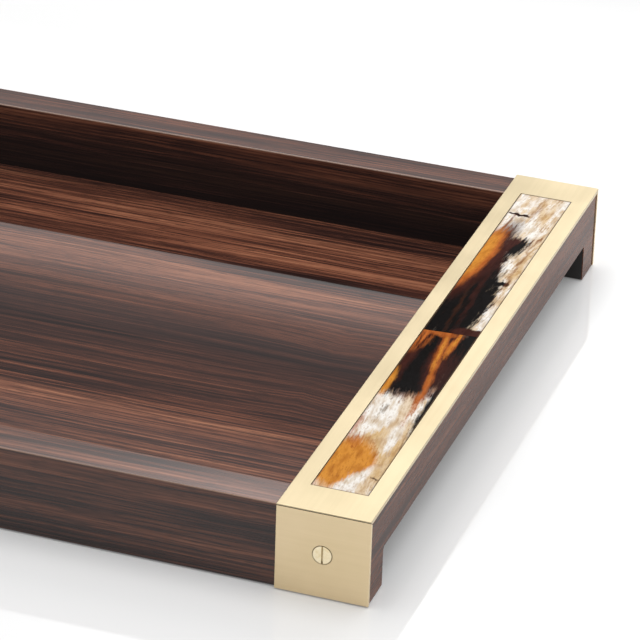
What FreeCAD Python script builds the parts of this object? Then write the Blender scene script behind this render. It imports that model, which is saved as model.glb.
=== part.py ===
"""Serving tray of veneered wood with brass-capped handle bars and horn inlays.

Frame: millimetres, +Z up, origin under the middle of the tray on the surface it stands on.
+X runs along the tray's length, towards the right-hand handle; +Y runs to its back.
"""
import FreeCAD, Part
import os

Vector = FreeCAD.Vector

# ---- driving dimensions -----------------------------------------------------------------
LENGTH = 600.0            # over the brass caps of both handle bars
WIDTH = 400.0             # over the brass cheeks
HEIGHT = 48.0             # from the table to the top of the brass
PAD_THICKNESS = 0.8       # felt pads lift everything else off the table
BRASS = 2.0               # gauge of the brass plates
VENEER = 0.6              # thickness of every sheet of veneer
RAIL_FACE = 177.0         # inner face of a side wall, from the tray's centre line
WALL_TOP = 46.7           # top of the side walls, a little below the brass
FLOOR_TOP = 8.2           # surface that things stand on
PANEL_CORE = 4.0          # bottom panel without its two veneers
PANEL_TONGUE = 5.4        # how far the bottom panel reaches into its grooves
BAR_WIDTH = 48.0          # handle bar, along X
END_WALL = 16.0           # wall under the inner edge of a handle bar, veneer included
GRIP_TOP = 21.8           # underside of a handle bar
GRIP_CORNER = 2.0         # radius in the top corners of the finger grip
END_SET_BACK = 0.5        # the veneered end face lies this far inside the brass edges
SHADOW_LINE = 0.4         # bare strip between the end face's veneer and the brass
WOOD_EASE = 0.8           # rounded long edges of the side walls
FOOT_EASE = 0.4           # rounded lower edges
BRASS_EASE = 0.3          # rounded edges of the brass
MITRE_LIP = 0.6           # top plate's own edge above the mitre
MITRE_GAP = 0.4           # open seam between top plate and cheek
WINDOW_MARGIN_X = 9.2     # brass left on each side of the horn
WINDOW_MARGIN_Y = 23.0    # brass left in front of and behind the horn
HORN_GAP = 0.3            # clearance around the horn
HORN_BED = 0.8            # recess in the handle bar under the horn
HORN_DROP = 0.1           # horn lies this much below the brass
HORN_SKEW = 1.8           # half of the slant of the joint between two pieces of horn
HORN_JOINT = 0.2          # width of that joint
SCREW_HEIGHT = 24.4       # middle of the screw in a cheek
HEAD_RADIUS = 4.9
HEAD_LAND = 0.3           # straight edge of the countersunk head
SHANK_RADIUS = 2.5
SCREW_LENGTH = 20.0
SCREW_POINT = 5.0
SLOT_WIDTH = 1.0
SLOT_DEPTH = 1.1
DOWEL_RADIUS = 4.0
DOWEL_LENGTH = 30.0
DOWEL_IN_BAR = 16.0       # part of each dowel that sits in the bar or the end wall
DOWEL_GLUE = 0.05         # radial room for glue
DOWEL_CHAMFER = 0.8
BAR_DOWELS = ((264.0, 34.0), (288.0, 34.0))
WALL_DOWEL = (263.0, 14.0)
PAD_RADIUS = 8.0
PAD_X = 282.0

# ---- derived dimensions -----------------------------------------------------------------
END = LENGTH / 2
SIDE = WIDTH / 2
PLATE_UNDERSIDE = HEIGHT - BRASS
RAIL_OUTSIDE = SIDE - BRASS
BAR_INSIDE = END - BAR_WIDTH
WOOD_END = END - END_SET_BACK
CORE_END = WOOD_END - VENEER
CORE_FACE = RAIL_FACE + VENEER
WELL_CORE = BAR_INSIDE + VENEER
GRIP_BACK = BAR_INSIDE + END_WALL
PANEL_TOP = FLOOR_TOP - VENEER
PANEL_BOTTOM = PANEL_TOP - PANEL_CORE
PANEL_HALF_LENGTH = WELL_CORE + PANEL_TONGUE
PANEL_HALF_WIDTH = CORE_FACE + PANEL_TONGUE
WINDOW_X0 = BAR_INSIDE + WINDOW_MARGIN_X
WINDOW_X1 = END - WINDOW_MARGIN_X
WINDOW_Y = SIDE - WINDOW_MARGIN_Y
BED_FLOOR = PLATE_UNDERSIDE - HORN_BED
SCREW_X = END - BAR_WIDTH / 2
DOWEL_START = CORE_FACE - DOWEL_IN_BAR
PAD_Y = (RAIL_FACE + RAIL_OUTSIDE) / 2
BEYOND = 10.0             # how far cutting boxes run past the material

LEFT_RIGHT = Vector(1, 0, 0)
FRONT_BACK = Vector(0, 1, 0)


# ---- helpers ----------------------------------------------------------------------------
def block(x, y, z):
    """Box between the low and high ends given for each axis."""
    corner = Vector(x[0], y[0], z[0])
    return Part.makeBox(x[1] - x[0], y[1] - y[0], z[1] - z[0], corner)


def across(profile, x0, x1):
    """Solid that carries a (y, z) outline along X."""
    points = [Vector(x0, y, z) for y, z in profile]
    outline = Part.makePolygon(points + points[:1])
    return Part.Face(outline).extrude(Vector(x1 - x0, 0, 0))


def ease(shape, radius, chosen):
    """Round the straight edges whose middle point is chosen."""
    edges = [edge for edge in shape.Edges if chosen(edge.CenterOfMass, edge)]
    return shape.makeFillet(radius, edges)


def runs_along(edge, axis):
    ends = edge.Vertexes
    return len(ends) == 2 and abs((ends[1].Point - ends[0].Point).normalize().dot(axis)) > 0.999


def mirrored(shape, axis):
    """Copy on the other side of the tray's middle plane."""
    return shape.mirror(Vector(0, 0, 0), axis)


def write(name, *solids):
    shape = solids[0] if len(solids) == 1 else Part.makeCompound(list(solids))
    for solid in shape.Solids:
        if not solid.isValid() or solid.Volume <= 0:
            raise ValueError(name + " is not a sound solid")
    shape.exportStep("parts/" + name + ".step")
    box = shape.BoundBox
    print(f"{name:26s} {len(shape.Solids):2d} solid(s) {shape.Volume / 1000:9.3f} cm3"
          f"  z {box.ZMin:6.2f} to {box.ZMax:6.2f}")


def write_both_ends(name, shape):
    write("right_" + name, shape)
    write("left_" + name, mirrored(shape, LEFT_RIGHT))


# ---- shapes that several pieces share ---------------------------------------------------
def screw_profile(shank, point):
    """Solid of revolution about the screw's axis, head outwards (+Y), seated flush."""
    cone = HEAD_RADIUS - shank
    top = SIDE
    outline = [
        (0, top),
        (HEAD_RADIUS, top),
        (HEAD_RADIUS, top - HEAD_LAND),
        (shank, top - HEAD_LAND - cone),
        (shank, top - SCREW_LENGTH + point),
        (0, top - SCREW_LENGTH),
    ]
    points = [Vector(SCREW_X + r, y, SCREW_HEIGHT) for r, y in outline]
    face = Part.Face(Part.makePolygon(points + points[:1]))
    return face.revolve(Vector(SCREW_X, 0, SCREW_HEIGHT), FRONT_BACK, 360)


def screw_hole():
    """Countersunk hole: the screw's own shape, opening out around the head."""
    flare = Part.makeCone(HEAD_RADIUS, HEAD_RADIUS + HEAD_LAND, HEAD_LAND,
                          Vector(SCREW_X, SIDE - HEAD_LAND, SCREW_HEIGHT), FRONT_BACK)
    return screw_profile(SHANK_RADIUS, SCREW_POINT).fuse(flare)


def dowel(x, z, glue=0.0):
    base = Vector(x, DOWEL_START, z)
    peg = Part.makeCylinder(DOWEL_RADIUS + glue, DOWEL_LENGTH, base, FRONT_BACK)
    if glue:
        return peg
    return peg.makeChamfer(DOWEL_CHAMFER, [e for e in peg.Edges if not runs_along(e, FRONT_BACK)])


def back_right_joints():
    """Every dowel position of the back right corner, as (x, z)."""
    return BAR_DOWELS + (WALL_DOWEL,)


def dowel_holes():
    """Holes for all dowels at both ends of the back side rail."""
    holes = [dowel(x, z, DOWEL_GLUE) for x, z in back_right_joints()]
    return holes + [mirrored(hole, LEFT_RIGHT) for hole in holes]


def grip_opening():
    """Space for the fingers under the right handle bar, open downwards and outwards."""
    opening = block((GRIP_BACK, END + BEYOND), (-CORE_FACE, CORE_FACE), (-BEYOND, GRIP_TOP))
    return ease(opening, GRIP_CORNER,
                lambda middle, edge: middle.z > GRIP_TOP - 0.1 and runs_along(edge, LEFT_RIGHT))


def horn_window(margin, z0, z1):
    """Right-hand window outline, made smaller all round by a margin."""
    return block((WINDOW_X0 + margin, WINDOW_X1 - margin),
                 (-WINDOW_Y + margin, WINDOW_Y - margin), (z0, z1))


# ---- side rails -------------------------------------------------------------------------
def rail_envelope():
    """Back side wall with its veneers: full length, eased edges, seats for both plates."""
    wall = block((-CORE_END, CORE_END), (RAIL_FACE, RAIL_OUTSIDE), (PAD_THICKNESS, WALL_TOP))
    wall = ease(wall, WOOD_EASE,
                lambda middle, edge: middle.z > WALL_TOP - 0.1 and runs_along(edge, LEFT_RIGHT))
    wall = ease(wall, FOOT_EASE,
                lambda middle, edge: middle.z < PAD_THICKNESS + 0.1
                and middle.y > RAIL_OUTSIDE - 0.1 and runs_along(edge, LEFT_RIGHT))
    seat = block((BAR_INSIDE, END + BEYOND), (0, SIDE + BEYOND), (PLATE_UNDERSIDE, HEIGHT))
    return wall.cut(seat).cut(mirrored(seat, LEFT_RIGHT))


def write_side_rails():
    envelope = rail_envelope()
    outer = RAIL_OUTSIDE - VENEER
    top = WALL_TOP - VENEER
    end = (-END, END)
    core_slab = block(end, (CORE_FACE, outer), (PAD_THICKNESS, top))
    groove = block((-PANEL_HALF_LENGTH, PANEL_HALF_LENGTH), (RAIL_FACE - BEYOND, PANEL_HALF_WIDTH),
                   (PANEL_BOTTOM, PANEL_TOP))
    screw = screw_hole()
    holes = [groove, screw, mirrored(screw, LEFT_RIGHT)] + dowel_holes()

    pieces = {
        "rail": envelope.common(core_slab).cut(holes),
        "rail_outer_veneer": envelope.common(block(end, (outer, SIDE), (0, top)))
        .cut([screw, mirrored(screw, LEFT_RIGHT)]),
        "rail_inner_veneer": envelope.common(
            block((-WELL_CORE, WELL_CORE), (RAIL_FACE, CORE_FACE), (PANEL_TOP, top))),
        "rail_top_veneer": envelope.common(
            block((-BAR_INSIDE, BAR_INSIDE), (0, SIDE), (top, HEIGHT))),
    }
    for name, shape in pieces.items():
        write("back_" + name, shape)
        write("front_" + name, mirrored(shape, FRONT_BACK))


# ---- bottom -----------------------------------------------------------------------------
def write_bottom():
    core = block((-PANEL_HALF_LENGTH, PANEL_HALF_LENGTH), (-PANEL_HALF_WIDTH, PANEL_HALF_WIDTH),
                 (PANEL_BOTTOM, PANEL_TOP))
    write("bottom_panel", core)
    write("floor_veneer", block((-BAR_INSIDE, BAR_INSIDE), (-RAIL_FACE, RAIL_FACE),
                                (PANEL_TOP, FLOOR_TOP)))
    write("underside_veneer", block((-WELL_CORE, WELL_CORE), (-CORE_FACE, CORE_FACE),
                                    (PANEL_BOTTOM - VENEER, PANEL_BOTTOM)))


# ---- wooden ends ------------------------------------------------------------------------
def write_ends():
    inside = (-CORE_FACE, CORE_FACE)
    holes = [dowel(x, z, DOWEL_GLUE) for x, z in back_right_joints()]
    holes += [mirrored(hole, FRONT_BACK) for hole in holes]

    coves = block((GRIP_BACK, CORE_END), inside, (GRIP_TOP - GRIP_CORNER, GRIP_TOP))
    bar = block((WELL_CORE, CORE_END), inside, (GRIP_TOP, PLATE_UNDERSIDE))
    bar = bar.fuse(coves.cut(grip_opening())).removeSplitter()
    bar = bar.cut([horn_window(0, BED_FLOOR, HEIGHT)] + holes)
    write_both_ends("handle_bar", bar)

    wall = block((WELL_CORE, GRIP_BACK), inside, (PAD_THICKNESS, GRIP_TOP))
    groove = block((0, PANEL_HALF_LENGTH), (-SIDE, SIDE), (PANEL_BOTTOM, PANEL_TOP))
    write_both_ends("end_wall", wall.cut([groove] + holes))

    reach = RAIL_OUTSIDE - SHADOW_LINE
    face = block((CORE_END, WOOD_END), (-reach, reach),
                 (PAD_THICKNESS, PLATE_UNDERSIDE - SHADOW_LINE))
    write_both_ends("end_veneer", face.cut(grip_opening()))

    write_both_ends("well_veneer", block((BAR_INSIDE, WELL_CORE), (-RAIL_FACE, RAIL_FACE),
                                         (PANEL_TOP, PLATE_UNDERSIDE)))


# ---- brass ------------------------------------------------------------------------------
def top_plate():
    """Cap of the right handle bar: window for the horn, ends mitred over the cheeks."""
    half = [
        (RAIL_OUTSIDE, PLATE_UNDERSIDE),
        (SIDE, HEIGHT - MITRE_LIP),
        (SIDE, HEIGHT),
    ]
    section = half + [(-y, z) for y, z in reversed(half)]
    plate = across(section, BAR_INSIDE, END)
    plate = ease(plate, BRASS_EASE,
                 lambda middle, edge: middle.z > HEIGHT - 0.1 or
                 (abs(middle.y) > SIDE - 0.1 and runs_along(edge, Vector(0, 0, 1))))
    return plate.cut(horn_window(0, 0, HEIGHT + BEYOND))


def back_cheek():
    """Plate over the back end of the right handle bar, mitred under the top plate."""
    section = [
        (RAIL_OUTSIDE, PAD_THICKNESS),
        (SIDE, PAD_THICKNESS),
        (SIDE, HEIGHT - MITRE_LIP - MITRE_GAP),
        (RAIL_OUTSIDE, PLATE_UNDERSIDE - MITRE_GAP),
    ]
    cheek = across(section, BAR_INSIDE, END)
    cheek = ease(cheek, BRASS_EASE,
                 lambda middle, edge: middle.y > SIDE - 0.1 and middle.z < PLATE_UNDERSIDE)
    return cheek.cut(screw_hole())


def write_brass():
    write_both_ends("top_plate", top_plate())
    cheek = back_cheek()
    write_both_ends("back_cheek", cheek)
    write_both_ends("front_cheek", mirrored(cheek, FRONT_BACK))

    slot = block((SCREW_X - SLOT_WIDTH / 2, SCREW_X + SLOT_WIDTH / 2),
                 (SIDE - SLOT_DEPTH, SIDE + BEYOND),
                 (SCREW_HEIGHT - BEYOND, SCREW_HEIGHT + BEYOND))
    back_right = screw_profile(SHANK_RADIUS, SCREW_POINT).cut(slot)
    write("cheek_screws", *in_four_corners(back_right))


def in_four_corners(shape):
    """The back right shape and its mirror images in the other three corners."""
    right = [shape, mirrored(shape, FRONT_BACK)]
    return right + [mirrored(copy, LEFT_RIGHT) for copy in right]


# ---- horn -------------------------------------------------------------------------------
def write_horn():
    """Two slips of horn fill each window and meet at a slightly slanted joint."""
    slab = horn_window(HORN_GAP, BED_FLOOR, HEIGHT - HORN_DROP)
    for name, side in (("back", 1), ("front", -1)):
        gap = side * HORN_JOINT / 2
        far = side * SIDE
        outline = [
            Vector(BAR_INSIDE, gap - HORN_SKEW, 0),
            Vector(END, gap + HORN_SKEW, 0),
            Vector(END, far, 0),
            Vector(BAR_INSIDE, far, 0),
        ]
        half = Part.Face(Part.makePolygon(outline + outline[:1])).extrude(Vector(0, 0, HEIGHT))
        write_both_ends(name + "_horn", slab.common(half))


# ---- dowels and pads --------------------------------------------------------------------
def write_dowels_and_pads():
    pegs = []
    for x, z in back_right_joints():
        pegs += in_four_corners(dowel(x, z))
    write("dowels", *pegs)

    pad = Part.makeCylinder(PAD_RADIUS, PAD_THICKNESS, Vector(PAD_X, PAD_Y, 0))
    write("felt_pads", *in_four_corners(pad))


def main():
    os.makedirs("parts", exist_ok=True)
    write_side_rails()
    write_bottom()
    write_ends()
    write_brass()
    write_horn()
    write_dowels_and_pads()


main()
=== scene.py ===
"""The looks of a veneered serving tray with brass and horn handle bars.

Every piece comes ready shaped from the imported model; this script gives each one its material and
adds the table, the studio lights and the camera. Lengths are in metres, in the model's own frame:
X runs along the tray, Y from the front wall to the back wall, Z up, with the table at Z = 0.
"""

import math
import bpy
from mathutils import Matrix, Vector

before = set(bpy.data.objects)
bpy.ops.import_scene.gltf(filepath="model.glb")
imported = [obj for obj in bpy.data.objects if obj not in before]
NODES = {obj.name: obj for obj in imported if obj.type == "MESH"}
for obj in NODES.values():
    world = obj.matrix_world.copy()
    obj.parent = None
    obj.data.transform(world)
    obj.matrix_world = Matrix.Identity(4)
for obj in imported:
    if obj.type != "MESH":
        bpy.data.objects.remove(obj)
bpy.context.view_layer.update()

MM = 0.001

# Rosewood, darkest to brightest, and the painted highlight along its edges.
INK = (0.0085, 0.0042, 0.0042, 1)
UMBER = (0.031, 0.0118, 0.0092, 1)
RED_BROWN = (0.098, 0.034, 0.0195, 1)
COPPER = (0.192, 0.073, 0.041, 1)
FLAME = (0.305, 0.130, 0.070, 1)
ARRIS_HIGHLIGHT = (0.34, 0.225, 0.165, 1)

# Horn, and the glue line round each slip.
CHALK = (0.66, 0.63, 0.59, 1)
CREAM = (0.56, 0.455, 0.335, 1)
STRAW = (0.46, 0.30, 0.125, 1)
HONEY = (0.48, 0.195, 0.026, 1)
AMBER = (0.36, 0.098, 0.018, 1)
RUSSET = (0.038, 0.0095, 0.0065, 1)
TAWNY = (0.17, 0.052, 0.022, 1)
JET = (0.0036, 0.0028, 0.0028, 1)
GLUE = (0.085, 0.050, 0.028, 1)

# Brass on the plates and cheeks; painted light makes the plates darker and the cheeks lighter.
SHADED_PLATE_DARK, SHADED_PLATE_LIGHT = (0.535, 0.443, 0.278, 1), (0.618, 0.515, 0.332, 1)
LIT_CHEEK_DARK, LIT_CHEEK_LIGHT = (0.735, 0.583, 0.356, 1), (0.800, 0.642, 0.412, 1)
# Grime and painted shade in the screws' slots and round their heads.
GRIME_AND_SHADE = (0.12, 0.080, 0.035, 1)

WHITE = (1, 1, 1, 1)

# The cheeks' outer faces are SIDE from the tray's middle, and each has a screw with a head of
# radius SCREW_HEAD.
SIDE = 200 * MM
SCREW_X, SCREW_HEIGHT, SCREW_HEAD = 276.0 * MM, 24.4 * MM, 4.9 * MM

# The floor's sheet: the place of the pinch along its grain, and of its dark heart across it.
PINCH, HEART = 204 * MM, 6 * MM


class Graph:
    """A node tree written as expressions on sockets and plain numbers; place gives x, y and z."""

    def __init__(self, tree, place):
        self.nodes, self.links = tree.nodes, tree.links
        split = self.nodes.new("ShaderNodeSeparateXYZ")
        self.links.new(place, split.inputs[0])
        self.x, self.y, self.z = split.outputs

    def put(self, socket, value):
        """Links value to socket if it is a socket itself, and else sets it."""
        if isinstance(value, bpy.types.NodeSocket):
            self.links.new(value, socket)
        else:
            socket.default_value = value

    def math(self, operation, *values):
        node = self.nodes.new("ShaderNodeMath")
        node.operation = operation
        for socket, value in zip(node.inputs, values):
            self.put(socket, value)
        return node.outputs[0]

    def add(self, *values):
        total = values[0]
        for value in values[1:]:
            total = self.math("ADD", total, value)
        return total

    def times(self, *values):
        total = values[0]
        for value in values[1:]:
            total = self.math("MULTIPLY", total, value)
        return total

    def less(self, a, b):
        return self.math("SUBTRACT", a, b)

    def vector(self, x, y, z):
        node = self.nodes.new("ShaderNodeCombineXYZ")
        for socket, value in zip(node.inputs, (x, y, z)):
            self.put(socket, value)
        return node.outputs[0]

    def noise(self, x, y, z, detail=2.0, roughness=0.5):
        """Soft noise about 0.5 at these coordinates, one feature to each whole number."""
        node = self.nodes.new("ShaderNodeTexNoise")
        self.put(node.inputs["Vector"], self.vector(x, y, z))
        node.inputs["Scale"].default_value = 1.0
        node.inputs["Detail"].default_value = detail
        node.inputs["Roughness"].default_value = roughness
        return node.outputs[0]

    def span(self, value, low, high, start=0.0, end=1.0, smooth=False):
        """start below low, end above high, and a straight or smooth change between."""
        node = self.nodes.new("ShaderNodeMapRange")
        node.interpolation_type = "SMOOTHSTEP" if smooth else "LINEAR"
        for socket, item in zip(node.inputs, (value, low, high, start, end)):
            self.put(socket, item)
        return node.outputs[0]

    def ramp(self, value, *stops):
        """Colours along value, from (position, colour) stops."""
        node = self.nodes.new("ShaderNodeValToRGB")
        self.put(node.inputs[0], value)
        elements = node.color_ramp.elements
        while len(elements) < len(stops):
            elements.new(0.5)
        for element, (position, colour) in zip(elements, stops):
            element.position, element.color = position, colour
        return node.outputs[0]

    def curve(self, value, *stops):
        """Brightness by straight lines through stops, which pair a value with its brightness."""
        low, high = stops[0][0], stops[-1][0]
        greys = [((at - low) / (high - low), (level, level, level, 1)) for at, level in stops]
        return self.ramp(self.span(value, low, high), *greys)

    def mix(self, share, a, b, how="MIX"):
        """a where share is 0, b where it is 1."""
        node = self.nodes.new("ShaderNodeMix")
        node.data_type, node.blend_type = "RGBA", how
        self.put(node.inputs[0], share)
        self.put(node.inputs[6], a)
        self.put(node.inputs[7], b)
        return node.outputs[2]

    def bump(self, height, depth, strength=1.0):
        """A normal for height from 0 to 1, depth metres deep."""
        node = self.nodes.new("ShaderNodeBump")
        node.inputs["Strength"].default_value = strength
        node.inputs["Distance"].default_value = depth
        self.put(node.inputs["Height"], height)
        return node.outputs[0]


class Shader(Graph):
    """A material on its object's own coordinates."""

    def __init__(self, name):
        self.material = bpy.data.materials.new(name)
        self.material.use_nodes = True
        tree = self.material.node_tree
        tree.nodes.clear()
        self.surface = tree.nodes.new("ShaderNodeBsdfPrincipled")
        output = tree.nodes.new("ShaderNodeOutputMaterial")
        tree.links.new(self.surface.outputs["BSDF"], output.inputs["Surface"])
        super().__init__(tree, tree.nodes.new("ShaderNodeTexCoord").outputs["Object"])

    def set(self, **values):
        """Sets the surface's own sockets, named with underscores for spaces."""
        for name, value in values.items():
            self.put(self.surface.inputs[name.replace("_", " ")], value)


def rosewood(name, along, across, sheet, figure, arrises=(), gloss=1.0):
    """Dark streaked rosewood veneer under clear gloss lacquer.

    along and across name the axes the grain runs along and across, and sheet is any number that
    sets one sheet's figure apart from another's. figure(shader, along, across) may bend the grain
    and warm it: it returns a shifted across, an amount to lighten by and how strong the streaks
    are. arrises are the places along the across axis where an edge gets a painted highlight.
    """
    s = Shader(name)
    a, place = getattr(s, along), getattr(s, across)
    c, glow, lively = figure(s, a, place)
    slow = s.less(s.noise(s.times(a, 6), s.times(c, 10), sheet), 0.5)
    quick = s.less(s.noise(s.times(a, 30), s.times(c, 60), sheet + 3.1), 0.5)
    c = s.add(c, s.times(slow, 3.5 * MM), s.times(quick, 0.6 * MM))

    def layer(stretch, count, shift, weight, **kind):
        raw = s.noise(s.times(a, stretch), s.times(c, count), sheet + shift, **kind)
        return s.span(raw, 0.30, 0.70, -weight / 2, weight / 2)

    bands = layer(1.5, 50, 11.3, 0.32, detail=1.0)
    streaks = layer(3.5, 210, 23.7, 0.44, detail=4.0, roughness=0.75)
    lines = layer(9, 640, 37.9, 0.60, detail=3.0, roughness=0.70)
    tone = s.add(0.5, s.times(s.add(bands, streaks, lines), lively), glow)
    stops = (0.06, INK), (0.28, UMBER), (0.54, RED_BROWN), (0.78, COPPER), (1.0, FLAME)
    colour = s.ramp(tone, *stops)
    veins = s.noise(s.times(a, 4), s.times(c, 130), sheet + 51.1, detail=2.0)
    colour = s.mix(s.span(veins, 0.31, 0.40, 0.6, 0.0), colour, INK)
    pores = s.noise(s.times(a, 90), s.times(c, 1400), sheet + 71.3, detail=1.0)
    pores = s.span(pores, 0.57, 0.67)
    colour = s.mix(s.times(pores, 0.5), colour, INK)
    # Painted highlight: the colour is lightened within a millimetre of each listed edge.
    for edge in arrises:
        gap = s.math("ABSOLUTE", s.less(place, edge))
        highlight = s.span(gap, 0.3 * MM, 0.9 * MM, 0.55, 0.0)
        colour = s.mix(highlight, colour, ARRIS_HIGHLIGHT)
    s.set(
        Base_Color=colour,
        Roughness=s.span(lines, -0.2, 0.2, 0.42, 0.55),
        Specular_IOR_Level=0.0,
        Coat_Weight=gloss,
        Coat_Roughness=0.03,
        Coat_IOR=1.5,
        Normal=s.bump(s.less(1.0, pores), 0.04 * MM, 0.5),
    )
    return s.material


def floor_figure(s, a, c):
    """The floor's sheet: a quiet dark heart, warm sides, and one pinch in the grain."""
    from_pinch = s.math("ABSOLUTE", s.less(a, PINCH))
    near = s.math("EXPONENT", s.times(from_pinch, -40))
    off_centre = s.less(c, HEART)
    spread = s.math("EXPONENT", s.times(s.math("POWER", s.times(off_centre, 28), 2.0), -1.0))
    bent = s.times(off_centre, s.add(1.0, s.times(s.times(near, spread), 0.28)))
    wander = s.times(s.less(s.noise(s.times(a, 3), s.times(c, 14), 5.5), 0.5), 10 * MM)
    place = s.add(bent, wander)
    back = s.span(place, 18 * MM, 80 * MM, 0.0, 0.21, smooth=True)
    front = s.span(place, -92 * MM, -42 * MM, 0.22, 0.0, smooth=True)
    off_heart = s.math("ABSOLUTE", s.less(place, HEART))
    lively = s.span(off_heart, 24 * MM, 80 * MM, 0.55, 1.15)
    return bent, s.add(back, front, -0.19), lively


def outer_wall_figure(s, a, c):
    """A wall's outer sheet: nearly black in a band, browner above and below."""
    band = 28 * MM
    off_band = s.math("ABSOLUTE", s.less(c, band))
    return c, s.span(off_band, 3 * MM, 13 * MM, -0.29, -0.02, smooth=True), 0.9


def inner_wall_figure_and_shade(s, a, c):
    """A wall's inner sheet with painted shade: nearly black at the floor and warmer towards the
    top.
    """
    # Painted shade: the sheet is darkened more and more towards the floor.
    return c, s.span(c, 20 * MM, 46 * MM, -0.68, 0.22), 1.0


def dark_figure(s, a, c):
    """The underside's sheet, evenly darker."""
    return c, -0.15, 1.0


def warm_figure(s, a, c):
    """The sheets on top of the walls, a little lighter and calmer."""
    return c, 0.02, 0.9


def end_figure(s, a, c):
    """The ends' sheets, lighter and much calmer."""
    return c, 0.06, 0.6


def black_lacquer(name):
    """Black satin lacquer that has sunk a little into the wood's grain."""
    s = Shader(name)
    grain = s.noise(s.times(s.x, 12), s.times(s.y, 420), s.times(s.z, 420), detail=3.0)
    cloud = s.noise(s.times(s.x, 60), s.times(s.y, 60), s.times(s.z, 60))
    s.set(
        Base_Color=s.mix(cloud, (0.009, 0.0075, 0.007, 1), (0.020, 0.0165, 0.015, 1)),
        Roughness=s.span(grain, 0.3, 0.7, 0.34, 0.5),
        Normal=s.bump(grain, 0.06 * MM, 0.5),
    )
    return s.material


def bare_wood(name, light, dark, count):
    """Unfinished wood with its grain along X, about count streaks to each metre across it."""
    s = Shader(name)
    across = s.add(s.times(s.y, count), s.times(s.z, 0.7 * count))
    grain = s.noise(s.times(s.x, 9), across, s.times(s.z, count), detail=4.0, roughness=0.6)
    s.set(
        Base_Color=s.mix(s.span(grain, 0.32, 0.68), dark, light),
        Roughness=s.span(grain, 0.3, 0.7, 0.78, 0.62),
        Normal=s.bump(grain, 0.1 * MM, 0.6),
    )
    return s.material


def from_screw(s):
    """Distance from the axis of the nearest cheek screw."""
    x = s.less(s.math("ABSOLUTE", s.x), SCREW_X)
    z = s.less(s.z, SCREW_HEIGHT)
    return s.math("SQRT", s.add(s.times(x, x), s.times(z, z)))


def satin_brass(name, brush, dark, light):
    """Satin brass from dark to light, brushed along the axis named by brush.

    A thin ring where it meets the head of a screw is darkened: grime and painted shade.
    """
    s = Shader(name)
    axes = {"x": s.x, "y": s.y, "z": s.z}
    hairs = s.noise(*[s.times(axes[k], 60 if k == brush else 6000) for k in "xyz"], detail=2.0)
    drift = s.noise(*[s.times(axes[k], 9 if k == brush else 420) for k in "xyz"], detail=2.0)
    cloud = s.noise(s.times(s.x, 30), s.times(s.y, 30), s.times(s.z, 30), detail=2.0)
    tone = s.add(s.times(hairs, 0.2), s.times(drift, 0.25), s.times(cloud, 0.55))
    colour = s.ramp(tone, (0.36, dark), (0.64, light))
    # Grime and painted shade: a thin dark ring round each screw head.
    dirt_and_shade = s.span(from_screw(s), SCREW_HEAD, SCREW_HEAD + 0.5 * MM, 0.85, 0.0)
    s.set(
        Base_Color=s.mix(dirt_and_shade, colour, GRIME_AND_SHADE),
        Metallic=1.0,
        Roughness=s.span(s.add(hairs, cloud), 0.7, 1.3, 0.28, 0.35),
        Normal=s.bump(hairs, 0.002 * MM, 0.25),
    )
    return s.material


def polished_brass(name):
    """Bright brass for the screws, finely mottled, with grime and painted shade in the slot and
    rim.
    """
    s = Shader(name)
    cloud = s.noise(s.times(s.x, 300), s.times(s.y, 300), s.times(s.z, 300), detail=2.0)
    mottle = s.noise(s.times(s.x, 2600), s.times(s.y, 2600), s.times(s.z, 2600))
    colour = s.ramp(cloud, (0.3, (0.86, 0.71, 0.44, 1)), (0.7, (0.97, 0.86, 0.62, 1)))
    # Grime and painted shade round the rim and down in the slot.
    rim = s.span(from_screw(s), SCREW_HEAD - 0.4 * MM, SCREW_HEAD, 0.0, 0.6)
    sunk = s.span(s.math("ABSOLUTE", s.y), SIDE - 0.5 * MM, SIDE - 0.15 * MM, 0.45, 0.0)
    s.set(
        Base_Color=s.mix(s.math("MAXIMUM", rim, sunk), colour, GRIME_AND_SHADE),
        Metallic=1.0,
        Roughness=s.span(mottle, 0.3, 0.7, 0.12, 0.22),
        Normal=s.bump(mottle, 0.004 * MM, 0.3),
    )
    return s.material


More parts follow.
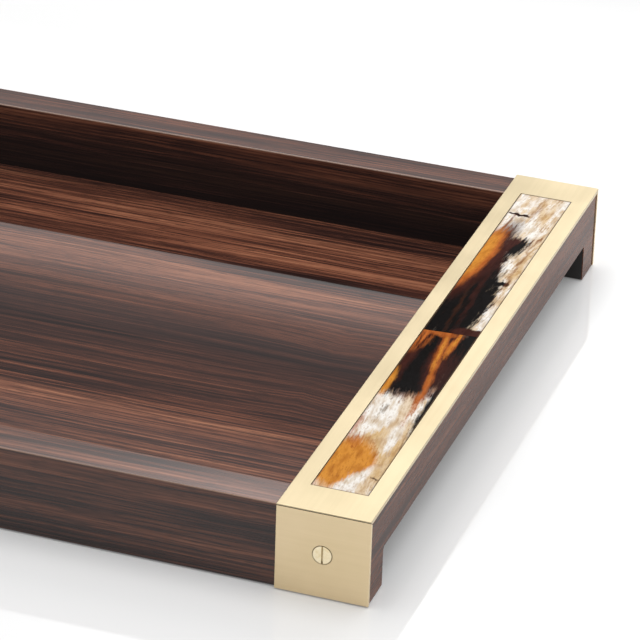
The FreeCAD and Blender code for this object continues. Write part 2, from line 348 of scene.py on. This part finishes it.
class Horn(Shader):
    """One polished horn inlay, laid over with stains like the clouds and streaks in real horn.

    run is the distance from the middle joint towards the piece's far end, and rise from the bar's
    inner edge towards its outer edge, both in millimetres. end is 1 on the right bar and -1 on the
    left, half is 1 for the back piece and -1 for the front, and sheet sets its fibres apart.
    """

    INNER_EDGE = 261.2 * MM
    WIDTH, LENGTH = 29.6, 177.0

    def __init__(self, name, end, half, sheet):
        super().__init__(name)
        run = self.times(self.y, half / MM)
        rise = self.times(self.less(self.times(self.x, end), self.INNER_EDGE), 1 / MM)
        sides = self.math("MINIMUM", rise, self.less(self.WIDTH, rise))
        self.margin = self.math("MINIMUM", sides, self.less(self.LENGTH, run))
        lean = self.less(rise, self.times(run, 0.10))

        def grain(length, width, shift, **kind):
            """Noise about zero with features of this length and width."""
            raw = self.noise(
                self.times(run, 1 / length), self.times(lean, 1 / width), sheet + shift, **kind
            )
            return self.less(raw, 0.5)

        waver = grain(26, 11, 0, detail=1.0)
        ripple = grain(7, 3.2, 4)
        self.fibres = grain(12, 1.5, 8, detail=4.0, roughness=0.60)
        self.fleck = grain(2.6, 1.1, 12, detail=3.0, roughness=0.6)
        self.smoke = grain(10, 3.4, 20, detail=3.0)
        self.run = self.add(run, self.times(waver, 9), self.times(ripple, 4))
        self.rise = self.add(rise, self.times(waver, 4), self.times(ripple, 2))
        clouds = grain(18, 6, 16, detail=3.0)
        tone = self.add(0.5, self.times(clouds, 1.3), self.times(self.fibres, 0.9))
        stops = (0.48, CHALK), (0.60, CREAM), (0.74, CREAM), (0.9, STRAW)
        self.colour = self.ramp(tone, *stops)
        streaky = self.add(self.fleck, self.times(self.fibres, 0.8))
        self.colour = self.mix(self.span(streaky, 0.10, 0.42, 0.0, 0.65), self.colour, STRAW)

    def stain(self, colour, run, rise, length, width, lean=0.0, soft=1.4, ragged=1.0, share=1.0):
        """A lens of colour centred at run and rise; lean is how far it rises for each mm of run.

        soft is the width of its fading edge in millimetres, ragged how torn that edge is, and
        share how much of what is under the stain it covers.
        """
        along = self.less(self.run, run)
        across = self.less(self.less(self.rise, rise), self.times(along, lean))
        along, across = self.times(along, 2 / length), self.times(across, 2 / width)
        reach = self.math("SQRT", self.add(self.times(along, along), self.times(across, across)))
        scale = 2 / min(length, width)
        teeth = self.add(self.times(self.fibres, 9), self.times(self.fleck, 2.5))
        reach = self.add(reach, self.times(teeth, ragged * scale))
        fade = soft * scale
        mask = self.span(reach, 1 - fade, 1 + fade, share, 0.0, smooth=True)
        self.colour = self.mix(mask, self.colour, colour)

    def finish(self):
        """Mottles and hazes the whole piece, darkens its glue line and polishes it."""
        patchy = self.times(self.fleck, self.span(self.smoke, -0.1, 0.1, 0.2, 1.1))
        mottle = self.add(self.fibres, patchy, 0.5)
        shade = self.ramp(mottle, (0.24, (0.66, 0.55, 0.45, 1)), (0.50, WHITE))
        haze = self.ramp(self.add(self.smoke, 0.5), (0.34, (0.76, 0.66, 0.54, 1)), (0.54, WHITE))
        colour = self.mix(1.0, self.mix(1.0, self.colour, shade, "MULTIPLY"), haze, "MULTIPLY")
        glue_line = self.span(self.margin, 0.45, 1.0, 0.70, 0.0)
        self.set(
            Base_Color=self.mix(glue_line, colour, GLUE),
            Roughness=self.span(self.fleck, -0.2, 0.2, 0.10, 0.16),
            Specular_IOR_Level=0.02,
            Normal=self.bump(self.fibres, 0.01 * MM, 0.3),
        )
        return self.material


def dark_hearted_horn(name, end, half, sheet):
    """The piece with a pale tip, an amber lobe and a black heart running into the joint."""
    horn = Horn(name, end, half, sheet)
    horn.stain(STRAW, run=156, rise=19, length=34, width=5, lean=-0.3, soft=2, share=0.7)
    horn.stain(STRAW, run=166, rise=23, length=20, width=4, soft=2, share=0.6)
    horn.stain(STRAW, run=86, rise=26, length=66, width=6, soft=2, ragged=1.4, share=0.8)
    horn.stain(TAWNY, run=135, rise=4.5, length=26, width=1.8, soft=0.8, ragged=0.3, share=0.8)
    horn.stain(RUSSET, run=62, rise=7, length=130, width=23, soft=1.8, ragged=1.0)
    horn.stain(RUSSET, run=112, rise=16, length=24, width=12, lean=0.1, ragged=0.8)
    horn.stain(JET, run=108, rise=18.5, length=27, width=7, lean=0.2, soft=1.8, ragged=0.9)
    horn.stain(JET, run=28, rise=12.5, length=112, width=22.5, soft=3.0, ragged=1.0)
    horn.stain(JET, run=63, rise=21, length=6, width=10, soft=1, ragged=0.8)
    horn.stain(JET, run=36, rise=20.5, length=56, width=7, soft=1.2, ragged=1.2)
    horn.stain(RUSSET, run=58, rise=13, length=80, width=3, lean=-0.05, ragged=0.6, share=0.7)
    horn.stain(TAWNY, run=34, rise=9, length=60, width=1.4, lean=-0.05, ragged=0.5, share=0.18)
    horn.stain(TAWNY, run=84, rise=24.5, length=56, width=1.6, soft=1, ragged=0.6, share=0.55)
    horn.stain(RUSSET, run=88, rise=4, length=100, width=17, lean=0.09, soft=2.5, ragged=0.3)
    horn.stain(AMBER, run=91, rise=1.5, length=78, width=14.5, lean=0.08, soft=1.6, ragged=0.5)
    horn.stain(HONEY, run=94, rise=1, length=62, width=10, lean=0.08, soft=2, ragged=0.3)
    horn.stain(JET, run=8, rise=1, length=62, width=9, soft=1.5, ragged=0.3)
    horn.stain(RUSSET, run=2, rise=25, length=13, width=22, soft=1.0, ragged=0.3)
    horn.stain(TAWNY, run=158, rise=15, length=16, width=4, soft=2, share=0.4)
    horn.stain(RUSSET, run=149.5, rise=6.8, length=3.0, width=14, soft=0.5, ragged=0.15)
    horn.stain(JET, run=149.8, rise=6.5, length=2.0, width=11, soft=0.5, ragged=0.15, share=0.7)
    horn.stain(TAWNY, run=122, rise=26, length=6, width=3, soft=1.2, share=0.6)
    return horn.finish()


def honey_tipped_horn(name, end, half, sheet):
    """The piece that is black and amber at the joint, white in the middle and honey at the tip."""
    horn = Horn(name, end, half, sheet)
    horn.stain(STRAW, run=120, rise=14, length=44, width=13, soft=3, share=0.8)
    horn.stain(STRAW, run=140, rise=27, length=70, width=9, soft=2.5, share=0.8)
    horn.stain(CREAM, run=90, rise=18, length=50, width=9, soft=2)
    horn.stain(CHALK, run=93, rise=7, length=46, width=19, soft=1.6)
    horn.stain(CHALK, run=118, rise=23, length=30, width=6, soft=1.5)
    horn.stain(TAWNY, run=128, rise=5, length=16, width=12, soft=3, share=0.5)
    horn.stain(HONEY, run=150, rise=7, length=54, width=25, soft=3.4, ragged=0.9)
    horn.stain(HONEY, run=145, rise=17, length=26, width=11, lean=0.15, soft=2.4, ragged=0.9)
    horn.stain(CHALK, run=166, rise=17, length=28, width=8, lean=-0.35, soft=1.8, ragged=0.8)
    horn.stain(AMBER, run=128, rise=6, length=12, width=7, soft=2, share=0.5)
    horn.stain(AMBER, run=112, rise=1, length=20, width=4, soft=1.4, share=0.6)
    horn.stain(TAWNY, run=32, rise=14, length=92, width=40, soft=2, ragged=1.1, share=0.75)
    horn.stain(JET, run=30, rise=10, length=90, width=40, soft=3.0, ragged=1.1)
    horn.stain(JET, run=56, rise=30.5, length=120, width=9, soft=0.9, ragged=0.3)
    horn.stain(JET, run=8, rise=28, length=44, width=9, soft=1.5, ragged=0.3)
    horn.stain(RUSSET, run=44, rise=26, length=44, width=6, soft=1.5, ragged=0.9, share=0.6)
    horn.stain(RUSSET, run=24, rise=18, length=76, width=11, lean=0.07, soft=2, ragged=0.6)
    horn.stain(AMBER, run=12, rise=20.5, length=30, width=4, soft=1.2, ragged=0.5)
    horn.stain(HONEY, run=11, rise=20.5, length=24, width=1.8, soft=1.2, ragged=0.4)
    horn.stain(AMBER, run=20, rise=16, length=46, width=4, lean=0.12, soft=1.4, ragged=0.5)
    horn.stain(AMBER, run=60, rise=20.5, length=64, width=3, lean=0.05, soft=1.2, ragged=0.4)
    horn.stain(HONEY, run=24, rise=16.5, length=34, width=1.8, lean=0.12, soft=1.0, ragged=0.4)
    horn.stain(RUSSET, run=30, rise=3, length=60, width=6, soft=2, ragged=0.4)
    horn.stain(AMBER, run=10, rise=3.5, length=30, width=7, lean=-0.1, soft=1.8, ragged=0.4)
    horn.stain(RUSSET, run=9, rise=5.4, length=34, width=1.4, lean=-0.1, soft=1, ragged=0.5)
    horn.stain(RUSSET, run=12, rise=2.4, length=24, width=1.0, soft=1, ragged=0.5, share=0.8)
    horn.stain(HONEY, run=62, rise=1, length=28, width=4.5, soft=1.2, ragged=0.3)
    horn.stain(AMBER, run=1, rise=9, length=7, width=20, soft=1.5, ragged=0.3, share=0.8)
    horn.stain(JET, run=92, rise=8.5, length=8, width=2, soft=1, share=0.45)
    horn.stain(RUSSET, run=160, rise=27, length=1.6, width=3.4, soft=0.6, ragged=0.2, share=0.8)
    return horn.finish()


def pressed_felt(name):
    """Black felt: a close tangle of short fibres."""
    s = Shader(name)
    fibres = s.noise(s.times(s.x, 2400), s.times(s.y, 900), s.times(s.z, 900), detail=3.0)
    tangle = s.noise(s.times(s.x, 900), s.times(s.y, 2400), s.times(s.z, 900), detail=3.0)
    nap = s.times(s.add(fibres, tangle), 0.5)
    deep, raised = (0.006, 0.006, 0.0065, 1), (0.03, 0.03, 0.032, 1)
    s.set(
        Base_Color=s.mix(s.span(nap, 0.35, 0.65), deep, raised),
        Roughness=s.span(nap, 0.3, 0.7, 0.98, 0.9),
        Sheen_Weight=0.3,
        Normal=s.bump(nap, 0.2 * MM, 0.8),
    )
    return s.material


def dress():
    """Gives every piece of the model its material."""
    looks = {
        "floor_veneer": rosewood("rosewood_floor", "x", "y", 3.0, floor_figure),
        "underside_veneer": rosewood("rosewood_underside", "x", "y", 91.0, dark_figure),
        "bottom_panel": bare_wood("plywood", (0.50, 0.37, 0.22, 1), (0.34, 0.23, 0.13, 1), 700),
        "dowels": bare_wood("beech", (0.66, 0.48, 0.31, 1), (0.50, 0.34, 0.20, 1), 900),
        "cheek_screws": polished_brass("polished_brass"),
        "felt_pads": pressed_felt("felt"),
        "right_back_horn": dark_hearted_horn("horn_right_back", 1, 1, 2.0),
        "right_front_horn": honey_tipped_horn("horn_right_front", 1, -1, 31.0),
        "left_back_horn": honey_tipped_horn("horn_left_back", -1, 1, 57.0),
        "left_front_horn": dark_hearted_horn("horn_left_front", -1, -1, 83.0),
    }
    black = black_lacquer("black_lacquer")
    # Painted light: one brass, darker on the plates and lighter on the cheeks, for how light falls.
    shaded_plate_brass = satin_brass("brass_plates_painted_darker", "y", SHADED_PLATE_DARK, SHADED_PLATE_LIGHT)
    lit_cheek_brass = satin_brass("brass_cheeks_painted_lighter", "x", LIT_CHEEK_DARK, LIT_CHEEK_LIGHT)
    end_sheet = rosewood("rosewood_ends", "y", "z", 141.0, end_figure, gloss=0.45)
    for side, sign, sheet in (("front", -1, 7.0), ("back", 1, 27.0)):
        rail, name = side + "_rail", "rosewood_" + side
        looks[rail] = black
        looks[rail + "_outer_veneer"] = rosewood(
            name + "_outside", "x", "z", sheet + 10, outer_wall_figure
        )
        looks[rail + "_inner_veneer"] = rosewood(
            name + "_inside", "x", "z", sheet + 20, inner_wall_figure_and_shade
        )
        # The edges of the top sheets that get a painted highlight.
        arrises = (177 * MM * sign, 198 * MM * sign)
        looks[rail + "_top_veneer"] = rosewood(
            name + "_top", "x", "y", sheet, warm_figure, arrises
        )
    for end in ("left_", "right_"):
        looks[end + "handle_bar"] = looks[end + "end_wall"] = black
        looks[end + "end_veneer"] = looks[end + "well_veneer"] = end_sheet
        looks[end + "top_plate"] = shaded_plate_brass
        looks[end + "front_cheek"] = looks[end + "back_cheek"] = lit_cheek_brass
    for name, node in NODES.items():
        node.data.materials.clear()
        node.data.materials.append(looks[name])


def make_table():
    """A plain white glossy table top that glows a little, wide enough to fill every view."""
    half = 12.0
    mesh = bpy.data.meshes.new("table")
    corners = [(-half, -half, 0), (half, -half, 0), (half, half, 0), (-half, half, 0)]
    mesh.from_pydata(corners, [], [(0, 1, 2, 3)])
    table = bpy.data.objects.new("table", mesh)
    bpy.context.scene.collection.objects.link(table)
    s = Shader("table_top")
    s.set(
        Base_Color=(0.61, 0.61, 0.61, 1),
        Roughness=0.06,
        IOR=1.5,
        Emission_Color=WHITE,
        Emission_Strength=0.13,
    )
    mesh.materials.append(s.material)


def overhead_shade(g):
    """Soft edges all round."""
    across = g.curve(g.x, (-1.1, 0.0), (-0.6, 1.0), (0.9, 1.0), (1.4, 0.0))
    away = g.curve(g.y, (-0.8, 0.0), (-0.4, 1.0), (0.3, 1.0), (0.6, 0.0))
    return g.times(across, away)


def side_fill_shade(g):
    """Soft edges all round."""
    across = g.curve(g.y, (-0.35, 0.0), (-0.05, 1.0), (0.75, 1.0), (1.05, 0.0))
    upward = g.curve(g.z, (0.33, 0.0), (0.50, 1.0), (1.00, 1.0), (1.17, 0.0))
    return g.times(across, upward)


def right_card_shade(g):
    """A crisp left edge that leans, and soft edges elsewhere."""
    lean = 0.61
    from_edge = g.math("MULTIPLY_ADD", g.z, lean, g.x)
    left = g.curve(from_edge, (0.335, 0.0), (0.365, 1.0))
    right = g.curve(g.x, (0.0, 1.0), (0.8, 0.9), (1.35, 0.0))
    upward = g.curve(g.z, (0.12, 0.0), (0.20, 1.0), (0.48, 1.0), (0.62, 0.0))
    return g.times(left, right, upward)


def back_box_shade(g):
    """Soft edges all round, softest on the right."""
    edge = (-1.2, 0.0), (-0.68, 0.58), (-0.5, 0.92), (-0.40, 1.0)
    across = g.curve(g.x, *edge, (0.2, 1.0), (1.3, 0.0))
    away = g.curve(g.y, (0.59, 0.0), (0.9, 1.0), (1.85, 1.0), (2.01, 0.0))
    return g.times(across, away)


def low_card_shade(g):
    """Half bright at the bottom, then a bright band, a dark one, and half bright again on top.

    The tray's glossy floor mirrors the card, and shows the bright band as the sheen across it.
    """
    below = (0.10, 0.48), (0.24, 0.50)
    bright = (0.262, 0.82), (0.272, 1.0), (0.290, 0.92)
    dark = (0.312, 0.38), (0.345, 0.18), (0.395, 0.14)
    above = (0.42, 0.40), (0.46, 0.45)
    return g.curve(g.z, *below, *bright, *dark, *above)


def soft_light(name, centre, facing, size, radiance, shade):
    """A rectangular light that shows only in what it lights and in reflections.

    radiance is its full brightness, and shade gives the share of it that each place has.
    """
    data = bpy.data.lights.new(name, "AREA")
    data.shape, data.size, data.size_y = "RECTANGLE", *size
    data.energy = radiance * math.pi * size[0] * size[1]
    data.use_nodes = True
    tree = data.node_tree
    g = Graph(tree, tree.nodes.new("ShaderNodeNewGeometry").outputs["Position"])
    g.put(tree.nodes["Emission"].inputs["Strength"], shade(g))
    light = bpy.data.objects.new(name, data)
    light.location = centre
    light.rotation_euler = Vector(facing).to_track_quat("-Z", "Y").to_euler()
    light.visible_camera = False
    bpy.context.scene.collection.objects.link(light)


def make_studio():
    """A white backdrop for the camera; all else sees a dim room with a bright ceiling.

    Towards the front and sides the room is lighter low down, so that the brass has something to
    mirror there.
    """
    world = bpy.data.worlds.new("studio")
    bpy.context.scene.world = world
    world.use_nodes = True
    tree = world.node_tree
    g = Graph(tree, tree.nodes.new("ShaderNodeTexCoord").outputs["Generated"])
    ceiling = g.curve(g.z, (0.0, 0.13), (0.62, 0.13), (0.80, 0.8), (0.92, 1.40), (1.0, 1.40))
    sides = g.curve(g.y, (-1.0, 0.45), (0.15, 0.45), (0.50, 0.0), (1.0, 0.0))
    low_down = g.curve(g.z, (0.0, 1.0), (0.55, 1.0), (0.80, 0.0), (1.0, 0.0))
    room = g.add(ceiling, g.times(sides, low_down))
    seen = tree.nodes.new("ShaderNodeLightPath").outputs["Is Camera Ray"]
    g.put(tree.nodes["Background"].inputs["Color"], g.mix(seen, room, WHITE))


def light_scene():
    """Broad soft lights above, a card behind on the right and a low one that the floor mirrors."""
    down, forward = (0, 0, -1), (0, -1, 0)
    soft_light("overhead", (0.15, -0.10, 1.4), down, (2.5, 1.4), 1.85, overhead_shade)
    soft_light("side_fill", (1.7, 0.35, 0.75), (-1, 0, -0.35), (1.4, 0.9), 0.80, side_fill_shade)
    soft_light("right_card", (0.65, 0.62, 0.37), forward, (1.4, 0.50), 1.3, right_card_shade)
    soft_light("back_box", (0.05, 1.30, 1.3), down, (2.5, 1.42), 2.5, back_box_shade)
    soft_light("low_card", (-0.1, 0.6, 0.28), forward, (3.4, 0.36), 0.98, low_card_shade)
    make_studio()


def place_camera():
    """A long lens from the front right and above, turned slightly about its own axis."""
    position = Vector((0.7680, -1.6918, 0.9627))
    ahead = Vector((-0.28086, 0.84284, -0.45905)).normalized()
    tilt = math.radians(1.9451)
    level = ahead.cross(Vector((0, 0, 1))).normalized()
    upright = level.cross(ahead)
    right = math.cos(tilt) * level + math.sin(tilt) * upright
    up = math.cos(tilt) * upright - math.sin(tilt) * level
    data = bpy.data.cameras.new("camera")
    data.lens, data.sensor_width = 214.7, 36.0
    camera = bpy.data.objects.new("camera", data)
    turned = Matrix((right, up, -ahead)).transposed().to_4x4()
    camera.matrix_world = Matrix.Translation(position) @ turned
    bpy.context.scene.collection.objects.link(camera)
    bpy.context.scene.camera = camera


dress()
make_table()
light_scene()
place_camera()
bpy.context.scene.view_settings.view_transform = "Standard"
bpy.context.scene.cycles.use_denoising = True
